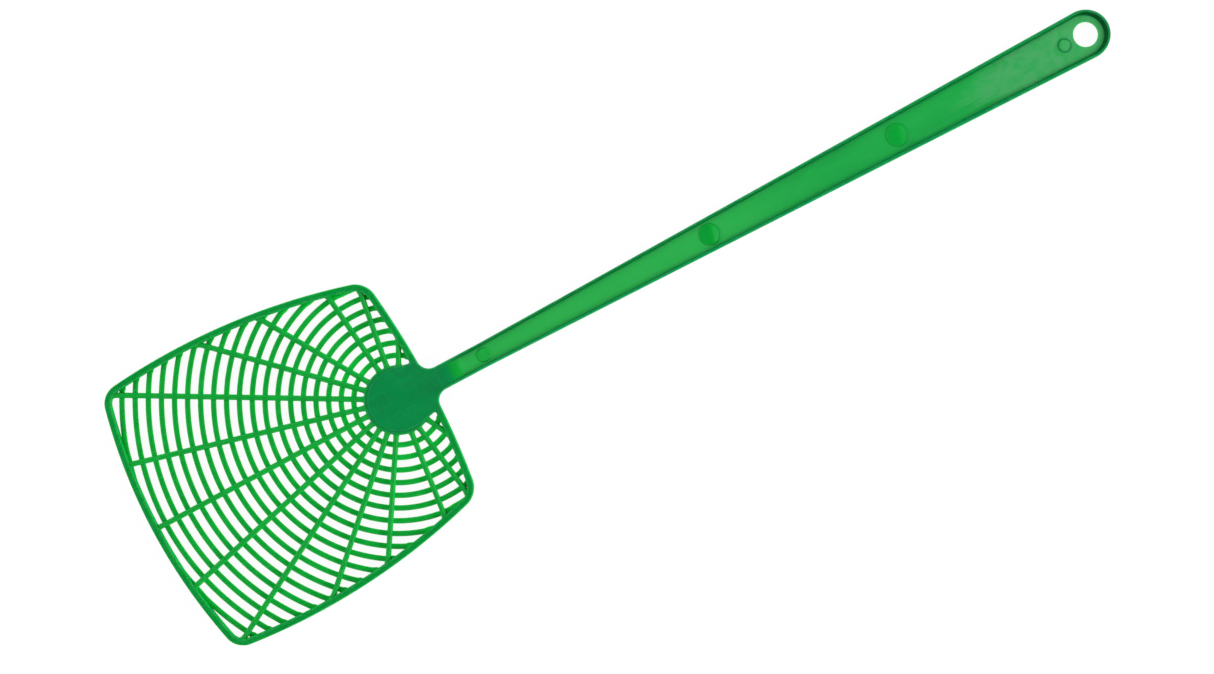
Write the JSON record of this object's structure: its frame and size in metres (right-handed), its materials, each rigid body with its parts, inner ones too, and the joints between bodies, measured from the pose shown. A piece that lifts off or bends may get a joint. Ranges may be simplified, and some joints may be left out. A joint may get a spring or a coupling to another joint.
{
  "type": "fly swatter",
  "caption": "One-piece moulded plastic fly swatter: tapered channelled handle with a hang hole, a slender flexing neck, and an open head of spokes and concentric rings in a frame.",
  "frame": {"origin": "centre of the hang hole, on the mould's parting plane at mid-thickness", "axes": "+X along the handle from the hang hole to the head, +Y across the handle, +Z out of the face that has the spokes and the ejector pads"},
  "size_m": [0.4325, 0.12, 0.0048],
  "materials": {
    "plastic_thin": "satin translucent green plastic, about 1.4 mm thick",
    "plastic_rim": "satin translucent green plastic, full-depth walls",
    "plastic_solid": "satin translucent green plastic, 4.8 mm thick",
    "plastic_rib": "satin translucent green plastic, ribs about 2 mm thick"
  },
  "bodies": {
    "handle": {"handle_rim": "plastic_rim", "handle_web": "plastic_thin", "ejector_pad_1": "plastic_thin", "ejector_pad_2": "plastic_thin", "ejector_pad_3": "plastic_thin", "neck_rims": "plastic_rim", "neck_web": "plastic_thin", "ejector_pad_4": "plastic_thin"},
    "head": {"neck_root": "plastic_solid", "hub_disc": "plastic_solid", "head_frame": "plastic_rim", "spoke_centre": "plastic_rib", "spoke_left_1": "plastic_rib", "spoke_right_1": "plastic_rib", "spoke_left_2": "plastic_rib", "spoke_right_2": "plastic_rib", "spoke_left_3": "plastic_rib", "spoke_right_3": "plastic_rib", "spoke_left_4": "plastic_rib", "spoke_right_4": "plastic_rib", "spoke_left_5": "plastic_rib", "spoke_right_5": "plastic_rib", "spoke_left_6": "plastic_rib", "spoke_right_6": "plastic_rib", "spoke_left_7": "plastic_rib", "spoke_right_7": "plastic_rib", "ring_01": "plastic_rib", "ring_02": "plastic_rib", "ring_03": "plastic_rib", "ring_04": "plastic_rib", "ring_05": "plastic_rib", "ring_06": "plastic_rib", "ring_07": "plastic_rib", "ring_08": "plastic_rib", "ring_09": "plastic_rib", "ring_10": "plastic_rib", "ring_11": "plastic_rib", "ring_12": "plastic_rib", "ring_13": "plastic_rib", "ring_14": "plastic_rib", "ring_15": "plastic_rib", "ring_16": "plastic_rib", "ring_17": "plastic_rib", "ring_18": "plastic_rib", "ring_19": "plastic_rib"}
  },
  "joints": [
    {"name": "neck_flex", "type": "hinge", "parent": "handle", "child": "head", "pos_m": [0.262, 0, 0], "axis": [0, -1, 0], "range_deg": [-20, 20], "stiffness_Nm_per_rad": 0.46, "deforming": ["neck_rims", "neck_web", "ejector_pad_4"]}
  ]
}
